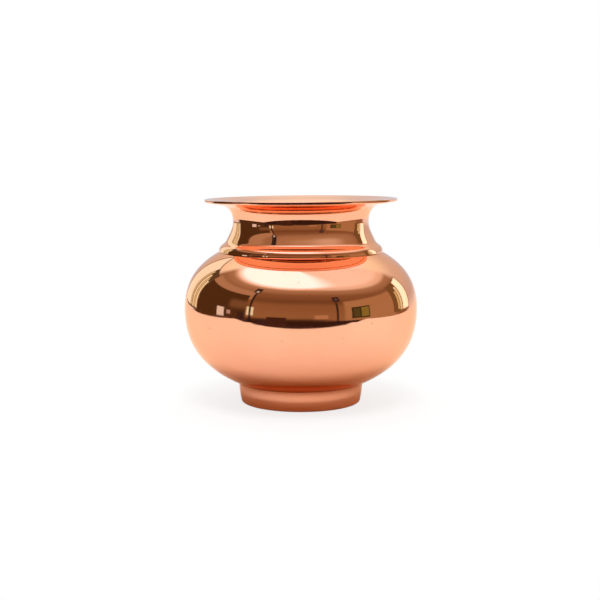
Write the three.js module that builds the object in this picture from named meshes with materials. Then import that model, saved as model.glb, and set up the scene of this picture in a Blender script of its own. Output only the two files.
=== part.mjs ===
// A spun copper kalash (water pot): a wide belly made of two half shells, a waisted neck
// with a flared lip, and a foot ring, lapped together and brazed.
// Millimetres, +Z up, origin on the table under the middle of the foot.
// Every piece is a sheet turned about the Z axis, so each one is an outline in (radius, height)
// that a LatheGeometry revolves. Outlines run counter-clockwise: up the outside, down the inside.
import * as THREE from "three";

// ---- Driving dimensions ----

const SHEET = 0.6; // copper sheet, as spun
const LAP_GAP = 0.1; // room for the brazing alloy between lapped sheets
const FILLET_GAP = 0.05; // between a brazing fillet and the sheets that it joins
const TURNS = 60; // flats round each turned piece

const BELLY = { r: 57, z: 46.2 }; // widest girth, where the two half shells meet
const BELLY_LAP = 4; // how far the bowl's joggled rim reaches up inside the shoulder
const JOGGLE = 3; // height over which that rim steps inwards

const FOOT_SEAT = { r: 31.1, z: 10.11, slope: 23.75 }; // where the bowl sits on its foot ring
const BASE_R = 13; // flat disc in the middle of the bowl's base

const FOOT_BOTTOM_R = 29.95; // outside of the foot ring, just above its rounded edge
const FOOT_FLARE = 65; // slope of its top edge, in degrees, where it spreads to meet the bowl
const FOOT_EDGE_R = 1.1; // rounding of that edge
const FOOT_FLANGE_R = 26; // inner edge of the flange that is turned in under the foot

const SHOULDER_TOP = { r: 39.2, z: 74.25, slope: 27.9 }; // where the shoulder passes under the neck
const COLLAR = { r: 36.75, z: 77.6, straight: 1.2 }; // the shoulder's mouth, inside the neck

const RIDGE = { r: 36, z: 74.1, radius: 4 }; // rounded ridge at the foot of the neck
const RIDGE_TOP = 56; // angle above outwards at which the ridge turns up into the neck
const NECK_FOOT = { r: 36.3, z: 79.45, slope: 64 }; // where the neck begins, above the ridge
const WAIST = { r: 33.12, z: 88.7 }; // narrowest part of the neck
const LIP = { r: 46.4, z: 99.4, slope: 19 }; // edge of the flare, in the middle of its fold
const HEM = 3; // width of the edge that is folded under the lip

// ---- Lines ----

const radians = THREE.MathUtils.degToRad;
const point = (r, z) => new THREE.Vector2(r, z);
const at = ({ r, z }) => point(r, z);
const reversed = (line) => [...line].reverse();

// The point at a distance from another, in a direction in degrees above outwards.
function along(from, degrees, distance) {
  const angle = radians(degrees);
  return point(
    from.r + distance * Math.cos(angle),
    from.z + distance * Math.sin(angle),
  );
}

// A smooth stretch between two points, each with the handle that its tangent points to.
function sweep(start, startHandle, endHandle, end, steps) {
  return new THREE.CubicBezierCurve(
    at(start),
    startHandle,
    endHandle,
    at(end),
  ).getPoints(steps);
}

// A round stretch about a centre, between two rising angles in degrees above outwards.
function round(centre, radius, from, to, steps) {
  const step = (to - from) / steps;
  return Array.from({ length: steps + 1 }, (_, i) =>
    along(centre, from + i * step, radius),
  );
}

// The line that runs beside another, on the left hand of someone walking along it.
function beside(line, distance) {
  const normals = line.slice(1).map((end, i) => {
    const step = end.clone().sub(line[i]).normalize();
    return point(-step.y, step.x);
  });
  return line.map((p, i) => {
    const before = normals[Math.max(i - 1, 0)];
    const after = normals[Math.min(i, normals.length - 1)];
    const middle = before.clone().add(after).normalize();
    return p.clone().addScaledVector(middle, distance / middle.dot(after));
  });
}

// The first stretch of a line, cut at a length.
function firstPart(line, length) {
  const kept = [line[0]];
  let left = length;
  for (let i = 1; i < line.length && left > 0; i++) {
    const step = line[i].distanceTo(line[i - 1]);
    kept.push(line[i - 1].clone().lerp(line[i], Math.min(1, left / step)));
    left -= step;
  }
  return kept;
}

// ---- Outlines of the pot's outside ----

// The arc that carries the bowl's base out from its flat disc to the foot ring's seat.
const BASE_ARC_R = (FOOT_SEAT.r - BASE_R) / Math.sin(radians(FOOT_SEAT.slope));
const BASE_Z =
  FOOT_SEAT.z - BASE_ARC_R * (1 - Math.cos(radians(FOOT_SEAT.slope)));

function baseLine() {
  const centre = { r: BASE_R, z: BASE_Z + BASE_ARC_R };
  return round(centre, BASE_ARC_R, -90, -90 + FOOT_SEAT.slope, 3);
}

// From the foot ring's seat up to the widest girth.
function bowlLine() {
  return sweep(
    FOOT_SEAT,
    along(FOOT_SEAT, FOOT_SEAT.slope, 19.1),
    along(BELLY, -90, 17.57),
    BELLY,
    11,
  );
}

// From the widest girth up to the neck.
function shoulderLine() {
  return sweep(
    BELLY,
    along(BELLY, 90, 8.25),
    along(SHOULDER_TOP, -SHOULDER_TOP.slope, 18.05),
    SHOULDER_TOP,
    10,
  );
}

// The hollow from the top of the ridge up to the foot of the neck.
function hollowLine() {
  const start = along(RIDGE, RIDGE_TOP, RIDGE.radius);
  return sweep(
    { r: start.x, z: start.y },
    along({ r: start.x, z: start.y }, RIDGE_TOP + 90, 0.95),
    along(NECK_FOOT, -NECK_FOOT.slope, 0.95),
    NECK_FOOT,
    4,
  );
}

// From the foot of the neck up to the waist.
function lowerNeckLine() {
  return sweep(
    NECK_FOOT,
    along(NECK_FOOT, 180 - NECK_FOOT.slope, 4.6),
    along(WAIST, -90, 3.1),
    WAIST,
    4,
  );
}

// From the waist, along the underside of the flare, out to the edge of the lip.
function flareLine() {
  return sweep(
    WAIST,
    along(WAIST, 90, 8.8),
    along(LIP, 180 + LIP.slope, 7.9),
    LIP,
    8,
  );
}

// ---- Pieces ----

// A solid turned about the Z axis from an outline that is closed, or that starts and ends on Z.
function turned(name, outline, material) {
  const startsOnAxis = outline[0].x === 0;
  const closed = startsOnAxis ? outline : [...outline, outline[0].clone()];
  const geometry = new THREE.LatheGeometry(closed, TURNS).rotateX(Math.PI / 2);
  const mesh = new THREE.Mesh(geometry, material);
  mesh.name = name;
  return mesh;
}

// Lower half of the belly. Its rim steps inwards, so that the shoulder laps over it flush.
function bowl(material) {
  const outside = [...baseLine(), ...bowlLine().slice(1)];
  const rim = firstPart(shoulderLine(), BELLY_LAP);
  const lapOutside = beside(rim, SHEET + LAP_GAP);
  const lapInside = beside(rim, SHEET + LAP_GAP + SHEET);
  const joggleStart = BELLY.z - JOGGLE;
  const inside = beside(outside, SHEET).filter((p) => p.y < joggleStart - 1);
  return turned(
    "bowl",
    [
      point(0, BASE_Z),
      ...outside.slice(0, -1),
      point(BELLY.r, BELLY.z - LAP_GAP),
      point(lapOutside[0].x, BELLY.z - LAP_GAP),
      ...lapOutside.slice(1),
      ...reversed(lapInside),
      point(BELLY.r - SHEET, joggleStart),
      ...reversed(inside),
      point(0, BASE_Z + SHEET),
    ],
    material,
  );
}

// Upper half of the belly. Its mouth is turned up into a collar that stands inside the neck.
function shoulder(material) {
  const bend = { r: COLLAR.r, z: COLLAR.z - COLLAR.straight };
  const turnUp = sweep(
    SHOULDER_TOP,
    along(SHOULDER_TOP, 180 - SHOULDER_TOP.slope, 1.6),
    along(bend, -90, 0.6),
    bend,
    3,
  );
  const outside = [...shoulderLine(), ...turnUp.slice(1), at(COLLAR)];
  return turned(
    "shoulder",
    [...outside, ...reversed(beside(outside, SHEET))],
    material,
  );
}

// Ridge, neck and flared lip in one sheet, with the edge of the lip folded under.
function neckAndLip(material) {
  const flare = flareLine();
  const outside = [
    ...hollowLine(),
    ...lowerNeckLine().slice(1),
    ...flare.slice(1),
  ];
  const foldLine = firstPart(reversed(flare), HEM);
  const foldUnderside = reversed(beside(foldLine, SHEET));
  const foldStart = foldLine.at(-1);
  return turned(
    "neck_and_lip",
    [
      ...round(RIDGE, RIDGE.radius, -2.5, RIDGE_TOP, 6).slice(0, -1),
      ...outside.filter((p) => p.x < foldStart.x || p.y < WAIST.z),
      foldStart,
      ...foldUnderside.slice(0, -1),
      ...round(LIP, SHEET, LIP.slope - 90, LIP.slope + 90, 6),
      ...reversed(beside(outside, SHEET)).slice(1),
      ...reversed(round(RIDGE, RIDGE.radius - SHEET, 3, RIDGE_TOP - 10, 4)),
    ],
    material,
  );
}

// The foot ring's wall, from its rounded bottom edge up to the bowl.
function footWallLine() {
  const seat = along(FOOT_SEAT, FOOT_SEAT.slope - 90, LAP_GAP);
  const bottom = { r: FOOT_BOTTOM_R, z: FOOT_EDGE_R };
  const top = { r: seat.x, z: seat.y };
  return sweep(
    bottom,
    along(bottom, 86, 4.5),
    along(top, FOOT_FLARE - 180, 2),
    top,
    6,
  );
}

// Ring under the bowl. Its top edge spreads to follow the bowl, and its bottom edge turns in.
function footRing(material) {
  const edge = { r: FOOT_BOTTOM_R - FOOT_EDGE_R, z: FOOT_EDGE_R };
  const outside = [
    point(FOOT_FLANGE_R, 0),
    ...round(edge, FOOT_EDGE_R, -90, 0, 4),
    ...footWallLine().slice(1),
  ];
  const inside = beside(outside, SHEET);
  inside.at(-1).lerp(inside.at(-2), 0.5); // keeps the inner top corner clear of the bowl
  return turned("foot_ring", [...outside, ...reversed(inside)], material);
}

// Fillet of brazing alloy in the corner between the bowl's underside and the foot ring's inside.
function footBraze(material) {
  const leg = 1.1;
  const wall = FOOT_SEAT.r - SHEET - 4 * FILLET_GAP;
  const slope = FOOT_SEAT.slope - 4; // the base is a little flatter inside the ring
  const under = (r) =>
    FOOT_SEAT.z - LAP_GAP - (FOOT_SEAT.r - r) * Math.tan(radians(slope));
  return turned(
    "foot_braze",
    [
      point(wall - 0.4, under(wall) - leg),
      point(wall, under(wall)),
      point(wall - leg, under(wall - leg)),
    ],
    material,
  );
}

// Fillet on top of the bowl's lapped rim, against the inside of the shoulder.
function bellyBraze(material) {
  const wallAt = (length) =>
    beside(firstPart(shoulderLine(), length), SHEET + FILLET_GAP).at(-1);
  const foot = wallAt(BELLY_LAP + FILLET_GAP);
  const tip = wallAt(BELLY_LAP + FILLET_GAP + SHEET);
  return turned(
    "belly_braze",
    [foot, tip, point(foot.x - SHEET, foot.y)],
    material,
  );
}

// Fillet on top of the shoulder's collar, against the inside of the neck.
function neckBraze(material) {
  const foot = COLLAR.z + FILLET_GAP;
  const inner = COLLAR.r - SHEET;
  return turned(
    "neck_braze",
    [
      point(inner, foot),
      point(COLLAR.r - FILLET_GAP, foot),
      point(inner, foot + SHEET),
    ],
    material,
  );
}

const copper = new THREE.MeshStandardMaterial({
  color: 0xf6a98a,
  metalness: 1,
  roughness: 0.08,
});
const brazingAlloy = new THREE.MeshStandardMaterial({
  color: 0xe0bc8f,
  metalness: 1,
  roughness: 0.35,
});

const kalash = new THREE.Group();
kalash.add(
  footRing(copper.clone()),
  footBraze(brazingAlloy.clone()),
  bowl(copper.clone()),
  bellyBraze(brazingAlloy.clone()),
  shoulder(copper.clone()),
  neckBraze(brazingAlloy.clone()),
  neckAndLip(copper.clone()),
);

export default kalash;
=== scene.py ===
"""Looks of the spun copper kalash pot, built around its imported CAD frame.

Every piece is a turned sheet, so each one is an outline in (radius, height) that is revolved
about Z. Outlines are in millimetres and run counter-clockwise: up the outside, down the inside.
They repeat the part's own curves with more points, rounded edges and a little of the unevenness
that spinning and brazing by hand leave. The foot's wall and the lip's edge have more detail.
"""

import math

import bmesh
import bpy
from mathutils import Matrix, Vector

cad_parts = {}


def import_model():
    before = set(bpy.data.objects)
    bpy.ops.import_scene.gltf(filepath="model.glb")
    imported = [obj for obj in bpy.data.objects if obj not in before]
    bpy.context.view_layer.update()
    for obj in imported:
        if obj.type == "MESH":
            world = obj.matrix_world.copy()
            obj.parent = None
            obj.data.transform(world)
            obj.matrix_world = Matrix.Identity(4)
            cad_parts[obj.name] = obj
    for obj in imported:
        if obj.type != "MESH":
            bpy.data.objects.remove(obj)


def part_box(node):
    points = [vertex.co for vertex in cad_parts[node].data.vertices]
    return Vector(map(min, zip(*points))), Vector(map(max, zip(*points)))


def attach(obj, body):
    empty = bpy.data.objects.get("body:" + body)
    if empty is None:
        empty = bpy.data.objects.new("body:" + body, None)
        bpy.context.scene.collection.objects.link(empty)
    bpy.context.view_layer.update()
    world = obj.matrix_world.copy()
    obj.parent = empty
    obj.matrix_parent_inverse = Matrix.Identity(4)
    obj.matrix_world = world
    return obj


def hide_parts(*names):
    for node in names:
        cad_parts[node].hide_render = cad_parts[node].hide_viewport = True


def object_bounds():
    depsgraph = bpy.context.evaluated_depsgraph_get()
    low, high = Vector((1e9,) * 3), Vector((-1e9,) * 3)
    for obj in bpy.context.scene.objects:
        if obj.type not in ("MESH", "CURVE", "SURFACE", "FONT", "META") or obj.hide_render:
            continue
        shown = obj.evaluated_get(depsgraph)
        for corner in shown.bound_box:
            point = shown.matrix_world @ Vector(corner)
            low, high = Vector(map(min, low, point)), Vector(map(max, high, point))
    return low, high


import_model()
cad_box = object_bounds()

MM = 0.001

# ---- Dimensions, in millimetres ----

SHEET = 0.6
TURNS = 300  # flats round each piece

BELLY_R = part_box("bowl")[1][0] / MM
BELLY_Z = 46.2
BELLY_LAP = 4
JOGGLE = 3

SEAT_R, SEAT_Z, SEAT_SLOPE = 31.1, 10.11, 23.75
BASE_R = 13
BASE_RINGS = (4, 9)  # radii of the rings of points in the flat base

FOOT_BOTTOM_R = 29.4
FOOT_LEAN, FOOT_STEEP, FOOT_FLARE = 79.5, 82, 54  # slopes of its wall, going up
FOOT_STRAIGHT, FOOT_BEND = 2.5, 1.3  # lengths of its lower wall, and of the bend above
FOOT_EDGE_R = 1.1
FOOT_FLANGE_R = 26

SHOULDER_TOP_R, SHOULDER_TOP_Z, SHOULDER_SLOPE = 39.2, 74.25, 27.9
COLLAR_R = 36.75
COLLAR_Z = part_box("shoulder")[1][2] / MM
COLLAR_STRAIGHT = 1.2

RIDGE_R, RIDGE_Z, RIDGE_RADIUS, RIDGE_TOP = 36, 74.1, 4, 56
NECK_FOOT_R, NECK_FOOT_Z, NECK_FOOT_SLOPE = 36.3, 79.45, 64
WAIST_R, WAIST_Z = 33.12, 88.7
LIP_R, LIP_Z, LIP_SLOPE = 46.4, 99.4, 19
HEM = 3
RIM_R = 0.2  # rounding of the two corners of the lip's pressed edge
RIM_OUT = 0.4  # how far that edge is spread
RIM_TUCK = 0.36  # how far its lower corner is drawn in
RIM_FACE = (-8, -3)  # degrees above outwards that the face looks in, at its bottom and top
BRAZE_LEG = 1.1  # legs of the fillet inside the foot

# Unevenness left by hand work
TOP_Z = cad_box[1][2] / MM
LIP_TILT = math.radians(0.45)  # the lip's left side sits a little lower
WOBBLE = 0.05  # how far the round is out of true
OVAL_SHARE, RIPPLE_SHARE = 0.8, 0.2  # how much of that is an oval, and how much is ripples
LINE_GAP = 0.04  # hairline between pieces that are brazed and polished flush

# ---- Lines ----


def along(start, degrees, distance):
    """The point at a distance from start, in a direction in degrees above outwards."""
    angle = math.radians(degrees)
    return start + distance * Vector((math.cos(angle), math.sin(angle)))


def sweep(start, start_handle, end_handle, end, steps):
    """A smooth stretch between two points, each with the handle that its tangent points to."""
    line = []
    for i in range(steps + 1):
        t = i / steps
        s = 1 - t
        line.append(
            s**3 * start
            + 3 * s * s * t * start_handle
            + 3 * s * t * t * end_handle
            + t**3 * end
        )
    return line


def arc(centre, radius, start, end, steps):
    """A round stretch about a centre, between two angles in degrees above outwards."""
    return [
        along(centre, start + (end - start) * i / steps, radius)
        for i in range(steps + 1)
    ]


def beside(line, distance):
    """The line beside another, on the left hand of someone walking along it."""
    normals = []
    for a, b in zip(line, line[1:]):
        step = (b - a).normalized()
        normals.append(Vector((-step.y, step.x)))
    moved = []
    for i, p in enumerate(line):
        before = normals[max(i - 1, 0)]
        after = normals[min(i, len(normals) - 1)]
        middle = (before + after).normalized()
        moved.append(p + middle * (distance / middle.dot(after)))
    return moved


def first_part(line, length):
    """The first stretch of a line, cut at a length."""
    kept = [line[0]]
    left = length
    for a, b in zip(line, line[1:]):
        step = (b - a).length
        if left <= step:
            kept.append(a.lerp(b, left / step))
            break
        kept.append(b)
        left -= step
    return kept


def fine_ends(line, step=0.08):
    """Adds a point close to each end, so that smooth shading is true right up to the ends."""
    start = line[0].lerp(line[1], step / (line[1] - line[0]).length)
    end = line[-1].lerp(line[-2], step / (line[-2] - line[-1]).length)
    return [line[0], start, *line[1:-1], end, line[-1]]


def rounded_end(line_end, other_end, steps=5):
    """Half circle from the end of one side of the sheet round to the end of its other side."""
    middle = (line_end + other_end) / 2
    spoke = line_end - middle
    start = math.degrees(math.atan2(spoke.y, spoke.x))
    return arc(middle, spoke.length, start, start + 180, steps)[1:-1]


SEAT = Vector((SEAT_R, SEAT_Z))
BELLY = Vector((BELLY_R, BELLY_Z))
SHOULDER_TOP = Vector((SHOULDER_TOP_R, SHOULDER_TOP_Z))
RIDGE = Vector((RIDGE_R, RIDGE_Z))
NECK_FOOT = Vector((NECK_FOOT_R, NECK_FOOT_Z))
WAIST = Vector((WAIST_R, WAIST_Z))
LIP = Vector((LIP_R, LIP_Z))

BASE_ARC_R = (SEAT_R - BASE_R) / math.sin(math.radians(SEAT_SLOPE))
BASE_Z = SEAT_Z - BASE_ARC_R * (1 - math.cos(math.radians(SEAT_SLOPE)))


def base_line():
    centre = Vector((BASE_R, BASE_Z + BASE_ARC_R))
    return arc(centre, BASE_ARC_R, -90, -90 + SEAT_SLOPE, 14)


def bowl_line():
    return sweep(
        SEAT,
        along(SEAT, SEAT_SLOPE, 19.1),
        along(BELLY, -90, 17.57),
        BELLY,
        64,
    )


def shoulder_line():
    return sweep(
        BELLY,
        along(BELLY, 90, 8.25),
        along(SHOULDER_TOP, -SHOULDER_SLOPE, 18.05),
        SHOULDER_TOP,
        52,
    )


def hollow_line():
    start = along(RIDGE, RIDGE_TOP, RIDGE_RADIUS)
    return sweep(
        start,
        along(start, RIDGE_TOP + 90, 0.95),
        along(NECK_FOOT, -NECK_FOOT_SLOPE, 0.95),
        NECK_FOOT,
        16,
    )


def lower_neck_line():
    return sweep(
        NECK_FOOT,
        along(NECK_FOOT, 180 - NECK_FOOT_SLOPE, 4.6),
        along(WAIST, -90, 3.1),
        WAIST,
        22,
    )


def flare_line():
    return sweep(
        WAIST,
        along(WAIST, 90, 8.8),
        along(LIP, 180 + LIP_SLOPE, 7.9),
        LIP,
        36,
    )


# ---- Pieces ----


def hand_made(x, y, z):
    """Moves a point of the true shape by the unevenness of hand work, always inwards or down."""
    angle = math.atan2(y, x)
    oval = 0.5 + 0.5 * math.cos(2 * angle + 0.9 + z / 60)
    ripple = 0.5 + 0.5 * math.cos(5 * angle - z / 14)
    shrink = 1 - (OVAL_SHARE * oval + RIPPLE_SHARE * ripple) * WOBBLE / BELLY_R
    lift = min(max((z - NECK_FOOT_Z) / (TOP_Z - NECK_FOOT_Z), 0), 1)
    lift = lift * lift * (3 - 2 * lift)
    drop = lift * math.tan(LIP_TILT) * (LIP_R + SHEET - x)
    return x * shrink, y * shrink, z - drop


def turned(name, strips, materials):
    """Revolves a closed outline about Z. strips are its stretches in order, each with the place of
    its material in the list and whether it carries on smoothly from the stretch before."""
    mesh = bmesh.new()
    outline = []
    for line, material, smooth in strips:
        for i, p in enumerate(line):
            if outline and (p - outline[-1][0]).length < 1e-4:
                outline[-1][1] = material
                outline[-1][2] = smooth
            else:
                outline.append([p, material, smooth or i > 0])
    on_axis = outline[0][0].x == 0
    if not on_axis and (outline[0][0] - outline[-1][0]).length < 1e-4:
        outline.pop()
    rings = []
    for p, _, _ in outline:
        ring = []
        for k in range(1 if p.x == 0 else TURNS):
            angle = 2 * math.pi * k / TURNS
            place = hand_made(p.x * math.cos(angle), p.x * math.sin(angle), p.y)
            ring.append(mesh.verts.new(Vector(place) * MM))
        rings.append(ring)
    last = len(rings) - 1 if on_axis else len(rings)
    for i in range(last):
        here, there = rings[i], rings[(i + 1) % len(rings)]
        for k in range(TURNS):
            nxt = (k + 1) % TURNS
            corners = [here[k % len(here)], here[nxt % len(here)]]
            corners += [there[nxt % len(there)], there[k % len(there)]]
            face = mesh.faces.new(list(dict.fromkeys(corners)))
            face.material_index = outline[i][1]
            face.smooth = True
    for ring, (_, _, smooth) in zip(rings, outline):
        if not smooth and len(ring) > 1:
            for k in range(TURNS):
                mesh.edges.get((ring[k], ring[(k + 1) % TURNS])).smooth = False
    bmesh.ops.recalc_face_normals(mesh, faces=mesh.faces)
    data = bpy.data.meshes.new(name)
    mesh.to_mesh(data)
    mesh.free()
    for material in materials:
        data.materials.append(material)
    piece = bpy.data.objects.new(name, data)
    bpy.context.scene.collection.objects.link(piece)
    return piece


POLISHED, INNER, UNDER = 0, 1, 2  # places of the three finishes in each sheet piece's materials


def bowl(materials):
    outside = fine_ends(bowl_line())
    base = base_line()
    flat_outside = [Vector((r, BASE_Z)) for r in (0, *BASE_RINGS)]
    flat_inside = [Vector((r, BASE_Z + SHEET)) for r in (0, *BASE_RINGS)]
    rim = first_part(shoulder_line(), BELLY_LAP)
    lap_outside = beside(rim, SHEET + LINE_GAP)
    lap_inside = beside(rim, SHEET + LINE_GAP + SHEET)
    joggle_top = Vector((BELLY_R - 2 * SHEET - LINE_GAP, BELLY_Z))
    joggle_foot = Vector((BELLY_R - SHEET, BELLY_Z - JOGGLE))
    joggle = sweep(
        joggle_top,
        along(joggle_top, -90, JOGGLE / 2),
        along(joggle_foot, 90, JOGGLE / 2),
        joggle_foot,
        8,
    )
    whole = [*base, *bowl_line()[1:]]
    inside = [p for p in beside(whole, SHEET) if p.y < BELLY_Z - JOGGLE - 0.3]
    shelf_z = BELLY_Z - LINE_GAP / 4
    return turned(
        "copper_bowl",
        [
            ([*flat_outside, *base], UNDER, True),
            ([*outside[:-1], Vector((BELLY_R, shelf_z))], POLISHED, True),
            ([Vector((BELLY_R, shelf_z)), Vector((lap_outside[0].x, shelf_z))], INNER, False),
            (lap_outside[1:], INNER, False),
            (rounded_end(lap_outside[-1], lap_inside[-1]), INNER, True),
            (lap_inside[::-1], INNER, True),
            (joggle, INNER, True),
            (inside[::-1], INNER, True),
            (flat_inside[::-1], INNER, True),
        ],
        materials,
    )


def shoulder(materials):
    bend = Vector((COLLAR_R, COLLAR_Z - COLLAR_STRAIGHT))
    turn_up = sweep(
        SHOULDER_TOP,
        along(SHOULDER_TOP, 180 - SHOULDER_SLOPE, 1.6),
        along(bend, -90, 0.6),
        bend,
        10,
    )
    collar_top = Vector((COLLAR_R, COLLAR_Z - SHEET / 2))
    outside = [*fine_ends(shoulder_line()), *turn_up[1:], collar_top]
    inside = beside(outside, SHEET)
    return turned(
        "copper_shoulder",
        [
            (outside, POLISHED, False),
            (rounded_end(outside[-1], inside[-1]), INNER, True),
            (inside[::-1], INNER, True),
            ([inside[0], outside[0]], INNER, False),
        ],
        materials,
    )


def lip_rim():
    """Edge of the lip: the fold is pressed to a nearly upright face between two small corners."""
    middle = Vector((LIP_R + RIM_OUT, LIP_Z))
    upper = along(middle, LIP_SLOPE + 90, SHEET - RIM_R)
    lower = along(middle, LIP_SLOPE - 90, SHEET - RIM_R)
    lower = along(lower, LIP_SLOPE + 180, RIM_TUCK)
    return [
        *arc(lower, RIM_R, LIP_SLOPE - 90, RIM_FACE[0], 7),
        *arc(upper, RIM_R, RIM_FACE[1], LIP_SLOPE + 90, 9),
    ]


def neck_and_lip(materials):
    flare = flare_line()
    ridge = arc(RIDGE, RIDGE_RADIUS, -2.5, RIDGE_TOP, 26)
    outside = [*hollow_line(), *lower_neck_line()[1:], *flare[1:]]
    inside = beside(outside, SHEET)
    rim = lip_rim()
    fold_line = first_part(flare[::-1], HEM)
    fold_underside = beside(fold_line, SHEET)[::-1]
    fold_underside = [p for p in fold_underside if p.x < rim[0].x - 0.05]
    fold_edge = fold_line[-1]
    below_fold = [p for p in flare if p.x < fold_edge.x - 0.15]
    fold_round = rounded_end(fold_edge, fold_underside[0])
    ridge_inside = arc(RIDGE, RIDGE_RADIUS - SHEET, RIDGE_TOP - 4, 3, 14)
    return turned(
        "copper_neck_and_lip",
        [
            (ridge, POLISHED, False),
            (hollow_line()[1:], POLISHED, True),
            ([*lower_neck_line()[1:], *below_fold[1:], fold_edge], POLISHED, True),
            (fold_round, POLISHED, False),
            (fold_underside, POLISHED, True),
            (rim, POLISHED, True),
            (inside[::-1], INNER, True),
            (ridge_inside, UNDER, True),
            ([ridge_inside[-1], ridge[0]], UNDER, False),
        ],
        materials,
    )


def foot_wall_line():
    """The foot's wall leans out a little, then less, and then spreads under the bowl."""
    top = along(SEAT, SEAT_SLOPE - 90, 2 * LINE_GAP)
    bottom = Vector((FOOT_BOTTOM_R, FOOT_EDGE_R))
    knee = along(bottom, FOOT_LEAN, FOOT_STRAIGHT)
    steep = along(knee, (FOOT_LEAN + FOOT_STEEP) / 2, FOOT_BEND)
    straight = [bottom.lerp(knee, i / 8) for i in range(9)]
    bend = sweep(
        knee,
        along(knee, FOOT_LEAN, 0.5),
        along(steep, FOOT_STEEP - 180, 0.5),
        steep,
        8,
    )
    spread = sweep(
        steep,
        along(steep, FOOT_STEEP, 1.3),
        along(top, FOOT_FLARE - 180, 1.7),
        top,
        18,
    )
    return [*straight, *bend[1:], *spread[1:]]


def foot_ring(materials):
    edge = Vector((FOOT_BOTTOM_R - FOOT_EDGE_R, FOOT_EDGE_R))
    step = 0.6
    flange = [Vector((FOOT_FLANGE_R + SHEET / 2 + i * step, 0)) for i in range(4)]
    corner = arc(edge, FOOT_EDGE_R, -90, 0, 12)
    outside = [*flange, *corner, *foot_wall_line()[1:]]
    inside = [p for p in beside(outside, SHEET) if p.y < SEAT_Z - 0.4]
    return turned(
        "copper_foot_ring",
        [
            (fine_ends(outside), POLISHED, True),
            ([outside[-1], inside[-1]], UNDER, False),
            (inside[::-1], UNDER, False),
            (rounded_end(inside[0], outside[0]), UNDER, True),
        ],
        materials,
    )


def fillet(name, corner, first, last, materials):
    """Brazing alloy drawn into a corner, with a hollow face between two ends of its legs."""
    face = sweep(last, last.lerp(corner, 0.35), first.lerp(corner, 0.35), first, 8)
    outline = [
        ([corner, first], 0, False),
        (face[::-1], 0, False),
        ([last, corner], 0, False),
    ]
    if (first - corner).cross(last - corner) < 0:
        outline = [(line[::-1], m, s) for line, m, s in outline[::-1]]
    return turned(name, outline, materials)


def foot_braze(materials):
    wall = SEAT_R - SHEET - 0.2
    slope = math.tan(math.radians(SEAT_SLOPE - 4))

    def under(r):
        return SEAT_Z - 0.1 - (SEAT_R - r) * slope

    corner = Vector((wall, under(wall)))
    return fillet(
        "foot_braze_fillet",
        corner,
        Vector((wall - BRAZE_LEG, under(wall - BRAZE_LEG))),
        Vector((wall - 0.4, corner.y - BRAZE_LEG)),
        materials,
    )


def belly_braze(materials):
    def wall(length):
        return beside(first_part(shoulder_line(), length), SHEET + LINE_GAP)[-1]

    start = BELLY_LAP + 0.35  # just clear of the round edge of the bowl's rim
    corner = wall(start)
    return fillet(
        "belly_braze_fillet",
        corner,
        wall(start + SHEET),
        Vector((corner.x - SHEET, corner.y)),
        materials,
    )


def neck_braze(materials):
    foot = COLLAR_Z + 0.06
    inner = COLLAR_R - SHEET
    return fillet(
        "neck_braze_fillet",
        Vector((COLLAR_R - 0.05, foot)),
        Vector((inner, foot + SHEET)),
        Vector((inner, foot)),
        materials,
    )


# ---- Materials ----


class Nodes:
    """A small helper that makes and links the nodes of one tree."""

    def __init__(self, tree):
        self.tree = tree

    def add(self, kind, inputs=(), **settings):
        node = self.tree.nodes.new(kind)
        for key, value in settings.items():
            setattr(node, key, value)
        for key, value in dict(inputs).items():
            if isinstance(value, bpy.types.NodeSocket):
                self.tree.links.new(value, node.inputs[key])
            else:
                node.inputs[key].default_value = value
        return node

    def math(self, operation, *values):
        node = self.add("ShaderNodeMath", enumerate(values), operation=operation)
        return node.outputs[0]

    def fit(self, value, low, high, to_low, to_high):
        """value's range from low to high, stretched to another range and clamped."""
        names = ("Value", "From Min", "From Max", "To Min", "To Max")
        inputs = dict(zip(names, (value, low, high, to_low, to_high)))
        return self.add("ShaderNodeMapRange", inputs, clamp=True).outputs["Result"]

    def smooth_fit(self, value, low, high):
        """0 below low and 1 above high, with a smooth step between."""
        names = ("Value", "From Min", "From Max")
        inputs = dict(zip(names, (value, low, high)))
        node = self.add("ShaderNodeMapRange", inputs, interpolation_type="SMOOTHSTEP")
        return node.outputs["Result"]

    def mix(self, factor, first, second):
        node = self.add("ShaderNodeMix", data_type="RGBA")
        for key, value in (("Factor", factor), ("A", first), ("B", second)):
            socket = [s for s in node.inputs if s.name == key and s.enabled][0]
            if isinstance(value, bpy.types.NodeSocket):
                self.tree.links.new(value, socket)
            else:
                socket.default_value = value
        return [s for s in node.outputs if s.enabled][0]

    def noise(self, vector, scale, detail=2.0, roughness=0.5):
        inputs = {"Vector": vector, "Scale": scale, "Detail": detail, "Roughness": roughness}
        return self.add("ShaderNodeTexNoise", inputs).outputs["Fac"]


def new_material(name):
    material = bpy.data.materials.new(name)
    material.use_nodes = True
    material.node_tree.nodes.clear()
    nodes = Nodes(material.node_tree)
    output = nodes.add("ShaderNodeOutputMaterial")
    shader = nodes.add("ShaderNodeBsdfPrincipled")
    nodes.tree.links.new(shader.outputs[0], output.inputs["Surface"])
    return material, nodes, shader


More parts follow.
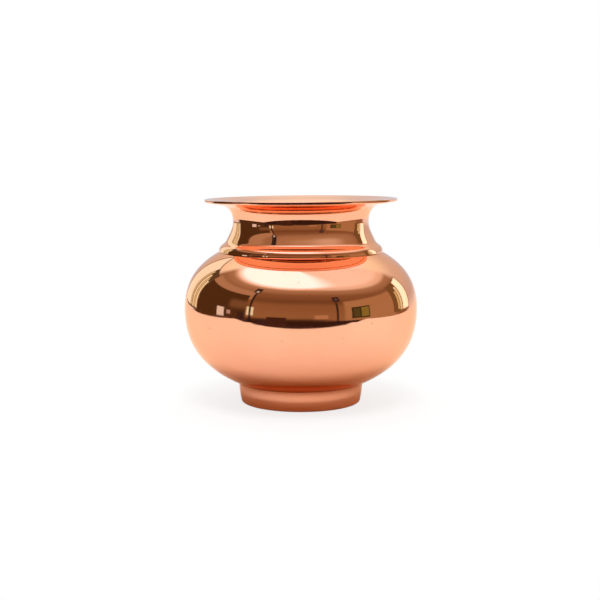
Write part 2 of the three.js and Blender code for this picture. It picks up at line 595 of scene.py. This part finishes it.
def round_coordinates(nodes):
    """Object position, its height, and the same surface as seen by the polishing wheel: a vector
    that changes fast across the turning marks and slowly along them."""
    place = nodes.add("ShaderNodeTexCoord").outputs["Object"]
    axes = nodes.add("ShaderNodeSeparateXYZ", {"Vector": place})
    x, y, z = axes.outputs
    squares = nodes.math("ADD", nodes.math("POWER", x, 2.0), nodes.math("POWER", y, 2.0))
    radius = nodes.math("SQRT", squares)
    angle = nodes.math("ARCTAN2", y, x)
    turn = nodes.math("MULTIPLY", angle, 0.004)
    marks = nodes.add("ShaderNodeCombineXYZ", {"X": radius, "Y": z, "Z": turn}).outputs[0]
    return place, z, marks


def bumps(nodes, shader, layers):
    """Stacks bump layers, each with its height, and the depth in metres that it stands for."""
    normal = None
    for height, depth in layers:
        inputs = {"Strength": 1.0, "Distance": depth, "Height": height}
        if normal is not None:
            inputs["Normal"] = normal
        normal = nodes.add("ShaderNodeBump", inputs).outputs[0]
    nodes.tree.links.new(normal, shader.inputs["Normal"])


WHITE = (1, 1, 1, 1)
COPPER = (0.94, 0.445, 0.268, 1)
COPPER_EDGE = (1.0, 0.8, 0.66, 1)  # what it mirrors at a grazing angle is still warm
COPPER_DEEP = (0.9, 0.385, 0.22, 1)
COPPER_DULL = (0.62, 0.24, 0.12, 1)
COPPER_BROWN = (0.3, 0.105, 0.05, 1)
ALLOY = (0.8, 0.6, 0.33, 1)
ALLOY_DARK = (0.5, 0.33, 0.16, 1)
POLISHED_DOWN_TO, DULL_BELOW = 93, 80  # heights between which the inside loses its polish


def polished_copper():
    """Mirror polish, with the wheel's faint lines, a few specks and slightly uneven colour."""
    material, nodes, shader = new_material("polished_copper")
    place, _, marks = round_coordinates(nodes)
    cloud = nodes.noise(place, 34.0, 3.0)
    lines = nodes.noise(marks, 900.0, 3.0, 0.7)
    specks = nodes.noise(place, 420.0, 1.0)
    tone = nodes.mix(nodes.fit(cloud, 0.35, 0.7, 0.0, 0.5), COPPER, COPPER_DEEP)
    pits = nodes.fit(specks, 0.76, 0.8, 0.0, 0.5)
    colour = nodes.mix(pits, tone, COPPER_DULL)
    nodes.tree.links.new(colour, shader.inputs["Base Color"])
    cloudy = nodes.fit(cloud, 0.4, 0.75, 0.03, 0.06)
    haze = nodes.math("ADD", cloudy, nodes.fit(lines, 0.4, 0.8, 0.0, 0.05))
    rough = nodes.math("ADD", haze, nodes.math("MULTIPLY", pits, 0.3))
    nodes.tree.links.new(rough, shader.inputs["Roughness"])
    shader.inputs["Metallic"].default_value = 1.0
    shader.inputs["Specular Tint"].default_value = COPPER_EDGE
    ripple = nodes.noise(place, 120.0, 1.0)
    bumps(nodes, shader, [(ripple, 6e-6), (lines, 5e-7)])
    return material


def inner_copper():
    """Inside finish: polished at the lip, and duller with open turning rings further down."""
    material, nodes, shader = new_material("spun_copper_inside")
    place, height, marks = round_coordinates(nodes)
    cloud = nodes.noise(place, 45.0, 4.0, 0.6)
    rings = nodes.noise(marks, 600.0, 4.0, 0.7)
    depth = nodes.smooth_fit(height, POLISHED_DOWN_TO * MM, DULL_BELOW * MM)
    stain = nodes.math("MULTIPLY", depth, nodes.fit(cloud, 0.42, 0.7, 0.15, 0.75))
    tone = nodes.mix(nodes.fit(rings, 0.35, 0.75, 0.0, 0.6), COPPER, COPPER_DEEP)
    colour = nodes.mix(stain, tone, COPPER_DULL)
    nodes.tree.links.new(colour, shader.inputs["Base Color"])
    cloudy = nodes.fit(cloud, 0.3, 0.75, 0.16, 0.3)
    dull = nodes.math("ADD", cloudy, nodes.fit(rings, 0.3, 0.8, 0.0, 0.08))
    bright = nodes.fit(rings, 0.4, 0.8, 0.04, 0.09)
    rough = nodes.add("ShaderNodeMix", data_type="FLOAT")
    for key, value in ((0, depth), (2, bright), (3, dull)):
        nodes.tree.links.new(value, rough.inputs[key])
    nodes.tree.links.new(rough.outputs[0], shader.inputs["Roughness"])
    shader.inputs["Metallic"].default_value = 1.0
    open_rings = nodes.math("MULTIPLY", rings, nodes.fit(depth, 0.0, 1.0, 0.05, 1.0))
    ripple = nodes.noise(place, 130.0, 1.0)
    bumps(nodes, shader, [(ripple, 6e-6), (open_rings, 8e-6)])
    return material


def under_copper():
    """Hidden faces that the polishing wheel doesn't reach: dull, reddish and scuffed."""
    material, nodes, shader = new_material("raw_copper_underside")
    place, _, marks = round_coordinates(nodes)
    cloud = nodes.noise(place, 70.0, 5.0, 0.6)
    rings = nodes.noise(marks, 500.0, 3.0, 0.6)
    tone = nodes.mix(nodes.fit(cloud, 0.35, 0.7, 0.0, 1.0), COPPER_DEEP, COPPER_DULL)
    burnt = nodes.fit(nodes.noise(place, 190.0, 4.0), 0.55, 0.75, 0.0, 0.7)
    nodes.tree.links.new(nodes.mix(burnt, tone, COPPER_BROWN), shader.inputs["Base Color"])
    cloudy = nodes.fit(cloud, 0.3, 0.7, 0.26, 0.42)
    rough = nodes.math("ADD", cloudy, nodes.fit(rings, 0.3, 0.8, 0.0, 0.1))
    nodes.tree.links.new(rough, shader.inputs["Roughness"])
    shader.inputs["Metallic"].default_value = 1.0
    bumps(nodes, shader, [(cloud, 3e-5), (rings, 1e-5)])
    return material


def brazing_alloy():
    """Frozen brazing alloy: yellower, satin, with a lumpy flow."""
    material, nodes, shader = new_material("brazing_alloy")
    place, _, _ = round_coordinates(nodes)
    flow = nodes.noise(place, 260.0, 3.0)
    tone = nodes.mix(nodes.fit(flow, 0.35, 0.7, 0.0, 1.0), ALLOY, ALLOY_DARK)
    nodes.tree.links.new(tone, shader.inputs["Base Color"])
    nodes.tree.links.new(nodes.fit(flow, 0.3, 0.7, 0.25, 0.45), shader.inputs["Roughness"])
    shader.inputs["Metallic"].default_value = 1.0
    bumps(nodes, shader, [(flow, 1.5e-4)])
    return material


def floor_material():
    """White board. For the camera alone most of it is plain white, so its shadows look faint."""
    material, nodes, shader = new_material("pale_floor")
    place = nodes.add("ShaderNodeTexCoord").outputs["Object"]
    grain = nodes.noise(place, 8.0, 4.0)
    white, cream = (0.92, 0.91, 0.83, 1), (0.91, 0.9, 0.81, 1)
    tone = nodes.mix(grain, white, cream)
    nodes.tree.links.new(tone, shader.inputs["Base Color"])
    shader.inputs["Roughness"].default_value = 0.9
    shader.inputs["Specular IOR Level"].default_value = 0.0
    lit = nodes.add("ShaderNodeEmission", {"Color": WHITE}).outputs[0]
    seen = nodes.add("ShaderNodeLightPath").outputs["Is Camera Ray"]
    share = nodes.math("MULTIPLY", seen, FLOOR_GLOW)
    blend = nodes.add("ShaderNodeMixShader", {0: share, 1: shader.outputs[0], 2: lit})
    output = nodes.tree.nodes["Material Output"]
    nodes.tree.links.new(blend.outputs[0], output.inputs["Surface"])
    return material


# ---- Studio ----

FLOOR_FRONT = -0.243  # the floor's front edge, which the belly mirrors as its horizon
FLOOR_BACK = 0.9
FLOOR_SIDE = 0.47
FLOOR_GLOW = 0.8  # share of plain white that the camera sees in it
LIGHT_STRENGTH = 1.1
LIGHT_TILT, LIGHT_SPREAD = 24, 24  # degrees off straight down, and across


def floor():
    data = bpy.data.meshes.new("studio_floor")
    corners = [
        (-FLOOR_SIDE, FLOOR_FRONT, 0),
        (FLOOR_SIDE, FLOOR_FRONT, 0),
        (FLOOR_SIDE, FLOOR_BACK, 0),
        (-FLOOR_SIDE, FLOOR_BACK, 0),
    ]
    data.from_pydata(corners, [], [(0, 1, 2, 3)])
    data.materials.append(floor_material())
    plane = bpy.data.objects.new("studio_floor", data)
    bpy.context.scene.collection.objects.link(plane)


def lights():
    """A broad light from above and a little in front, which keeps the pot's shadow on the floor
    behind it. The polish mirrors the world instead, which world() draws."""
    data = bpy.data.lights.new("front_light", "SUN")
    data.energy = LIGHT_STRENGTH
    data.angle = math.radians(LIGHT_SPREAD)
    lamp = bpy.data.objects.new("front_light", data)
    lamp.rotation_euler = (math.radians(LIGHT_TILT), 0, 0)
    lamp.visible_glossy = False
    bpy.context.scene.collection.objects.link(lamp)


def ramp(nodes, value, stops):
    """Colours against value, each stop being a position and a colour."""
    node = nodes.add("ShaderNodeValToRGB", {"Fac": value})
    band = node.color_ramp
    band.interpolation = "EASE"
    while len(band.elements) < len(stops):
        band.elements.new(0.5)
    for element, (position, colour) in zip(band.elements, stops):
        element.position = position
        element.color = (*colour, 1)
    return node.outputs["Color"]


# What stands in the studio, as the pot's polish sees it: bearing to the right of the camera and
# height above the horizon, from and to, in degrees, then the softness of the edges and the colour.
STUDIO = [
    ("left ceiling beam", -122, -52, 24, 40, 5.0, (0.46, 0.35, 0.24)),
    ("dark doorway", -121, -55, -9, 31, 1.0, (0.085, 0.05, 0.02)),
    ("doorway wall", -74, -52, 8, 20, 8.0, (0.2, 0.13, 0.07)),
    ("side wall", 43, 106, -9, 22, 4.0, (0.44, 0.31, 0.18)),
    ("low furniture", -66, 62, -20, -6, 1.0, (0.04, 0.02, 0.015)),
    ("cupboard", -33, -14, -20, -1, 0.6, (0.06, 0.03, 0.02)),
    ("dark chair", -63, -56, -9, 3, 3.0, (0.05, 0.03, 0.03)),
    ("stool", -42, -33, -12, -4, 1.0, (0.05, 0.03, 0.03)),
    ("shelf", 13, 26, -3, 2, 0.6, (0.5, 0.36, 0.22)),
    ("far window", -88.5, -79.5, -4, 6, 0.6, (0.85, 1.05, 1.2)),
    ("second far window", -76, -71.5, -1, 3.5, 1.0, (0.5, 0.5, 0.55)),
    ("tall window", -53.5, -46.5, 0, 12, 0.6, (0.95, 1.3, 1.1)),
    ("shutter", 50, 70, -4, 11, 0.6, (0.05, 0.045, 0.015)),
    ("shutter pane", 52, 59, -2.5, 9, 0.6, (0.1, 0.1, 0.035)),
    ("brighter pane", 60.5, 69, -2.5, 9.5, 0.6, (0.26, 0.26, 0.06)),
    ("left curtain", -156, -120.5, -4, 36, 0.8, (0.12, 0.1, 0.05)),
    ("left window", -155, -137.5, -3, 35, 1.0, (1.15, 1.5, 1.6)),
    ("left window pane", -136.5, -134, -3, 32, 0.6, (0.8, 1.0, 0.7)),
    ("middle pane", -132.5, -129.5, -3, 29.5, 0.6, (1.1, 1.4, 1.2)),
    ("narrow pane", -128.5, -126.5, -3, 27, 0.6, (0.9, 1.1, 0.8)),
    ("side pane", -125.5, -122.5, -3, 25, 0.6, (1.1, 1.4, 1.2)),
    ("right curtain", 102, 131, -4, 27, 1.0, (0.2, 0.14, 0.06)),
    ("right side pane", 109.5, 112.5, -2, 17, 0.6, (0.75, 0.8, 0.42)),
    ("right pane", 113.5, 117, -3, 21, 0.6, (0.9, 1.15, 0.9)),
    ("right window", 118.5, 130, -3, 26, 1.2, (1.8, 2.0, 2.1)),
    ("left stand", -51.2, -49, -12, 42, 0.4, (0.03, 0.02, 0.02)),
    ("left lamp", -55, -46.5, 38, 46, 1.0, (0.04, 0.03, 0.03)),
    ("left lamp glow", -52, -49, 38.5, 41.5, 0.5, (0.7, 0.8, 0.85)),
    ("right stand", 34.5, 36.5, -12, 22, 0.4, (0.03, 0.02, 0.02)),
    ("right lamp", 32.5, 40, 23, 32, 1.0, (0.05, 0.03, 0.04)),
    ("right lamp glow", 35.5, 37.5, 26.5, 28.5, 0.5, (0.2, 0.25, 0.25)),
]


LOWEST, HIGHEST = -30, 60  # heights in degrees that the ramps of the studio span

# Colours of the room in front and of the wall behind, against height above the horizon
ROOM = [
    (-5, (0.06, 0.035, 0.02)),
    (-1, (0.32, 0.21, 0.11)),
    (16, (0.29, 0.18, 0.09)),
    (26, (0.19, 0.11, 0.05)),
    (36, (0.25, 0.15, 0.08)),
    (47, (0.42, 0.31, 0.2)),
    (52.5, (0.92, 0.88, 0.82)),
    (60, (1.15, 1.15, 1.2)),
]
BACK_WALL = [
    (-6, (0.95, 1.15, 1.4)),
    (4, (0.66, 0.74, 0.85)),
    (22, (0.76, 0.8, 0.82)),
    (45, (1.16, 1.3, 1.22)),
    (58, (1.0, 1.4, 1.7)),
]
SOFTBOX = (2.1, 2.15, 2.9, 1)
CEILING_DROP = 14.0  # how much lower the ceiling starts on the right, in degrees


def by_height(nodes, height, colours):
    """Colours that follow the height above the horizon."""
    span = HIGHEST - LOWEST
    stops = [((degrees - LOWEST) / span, colour) for degrees, colour in colours]
    return ramp(nodes, nodes.fit(height, LOWEST, HIGHEST, 0.0, 1.0), stops)


def walls_and_ceiling(nodes, bearing, height):
    """A warm room in front, a pale wall behind, and a softbox over the middle and the left."""
    drop = nodes.math("MULTIPLY", nodes.smooth_fit(bearing, 0, 110), CEILING_DROP)
    room = by_height(nodes, nodes.math("ADD", height, drop), ROOM)
    softbox = nodes.math(
        "MULTIPLY",
        nodes.smooth_fit(height, 50, 57),
        nodes.math("SUBTRACT", 1.0, nodes.smooth_fit(bearing, 18, 60)),
    )
    room = nodes.mix(softbox, room, SOFTBOX)
    wall = by_height(nodes, height, BACK_WALL)
    behind = nodes.smooth_fit(nodes.math("ABSOLUTE", bearing), 122, 134)
    return nodes.mix(behind, room, wall)


def world():
    """White behind the pot for the camera, and the studio for what the pot mirrors."""
    scene_world = bpy.data.worlds.new("studio")
    scene_world.use_nodes = True
    scene_world.node_tree.nodes.clear()
    bpy.context.scene.world = scene_world
    nodes = Nodes(scene_world.node_tree)
    direction = nodes.add("ShaderNodeTexCoord").outputs["Generated"]
    x, y, z = nodes.add("ShaderNodeSeparateXYZ", {"Vector": direction}).outputs
    forward = nodes.math("MULTIPLY", y, -1.0)
    bearing = nodes.math("DEGREES", nodes.math("ARCTAN2", x, forward))
    height = nodes.math("DEGREES", nodes.math("ARCSINE", z))
    studio = walls_and_ceiling(nodes, bearing, height)
    for _, left, right, low, high, soft, colour in STUDIO:
        inside = nodes.smooth_fit(bearing, left - soft / 2, left + soft / 2)
        for edge in (
            nodes.smooth_fit(bearing, right + soft / 2, right - soft / 2),
            nodes.smooth_fit(height, low - soft / 2, low + soft / 2),
            nodes.smooth_fit(height, high + soft / 2, high - soft / 2),
        ):
            inside = nodes.math("MULTIPLY", inside, edge)
        studio = nodes.mix(inside, studio, (*colour, 1))

    mirrored = nodes.add("ShaderNodeBackground", {"Color": studio}).outputs[0]
    backdrop = nodes.add("ShaderNodeBackground", {"Color": WHITE}).outputs[0]
    seen = nodes.add("ShaderNodeLightPath").outputs["Is Camera Ray"]
    chosen = nodes.add("ShaderNodeMixShader", {0: seen, 1: mirrored, 2: backdrop}).outputs[0]
    nodes.add("ShaderNodeOutputWorld", {"Surface": chosen})


# ---- Camera ----

CAMERA_SIDE = -0.0004
CAMERA_HEIGHT = 0.1203
CAMERA_BACK = 0.5731
AIM_HEIGHT = 0.0499
LENS = 70.5


def camera():
    """The photograph's low front view."""
    data = bpy.data.cameras.new("front_camera")
    data.lens = LENS
    data.sensor_width = 36
    data.clip_start = 0.01
    eye = bpy.data.objects.new("front_camera", data)
    eye.location = (CAMERA_SIDE, -CAMERA_BACK, CAMERA_HEIGHT)
    aim = Vector((CAMERA_SIDE, 0, AIM_HEIGHT)) - eye.location
    eye.rotation_euler = aim.to_track_quat("-Z", "Y").to_euler()
    bpy.context.scene.collection.objects.link(eye)
    bpy.context.scene.camera = eye


# ---- Assembly ----

sheet_materials = [polished_copper(), inner_copper(), under_copper()]
alloy_materials = [brazing_alloy()]

PIECES = [
    (foot_ring, sheet_materials, "foot_ring", "polished_copper"),
    (foot_braze, alloy_materials, "foot_braze", "brazing_alloy"),
    (bowl, sheet_materials, "bowl", "polished_copper"),
    (belly_braze, alloy_materials, "belly_braze", "brazing_alloy"),
    (shoulder, sheet_materials, "shoulder", "polished_copper"),
    (neck_braze, alloy_materials, "neck_braze", "brazing_alloy"),
    (neck_and_lip, sheet_materials, "neck_and_lip", "polished_copper"),
]

for build, materials, node, slot in PIECES:
    piece = build(materials)
    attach(piece, "root")
    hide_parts(node)

floor()
lights()
world()
camera()
bpy.context.scene.view_settings.view_transform = "Standard"
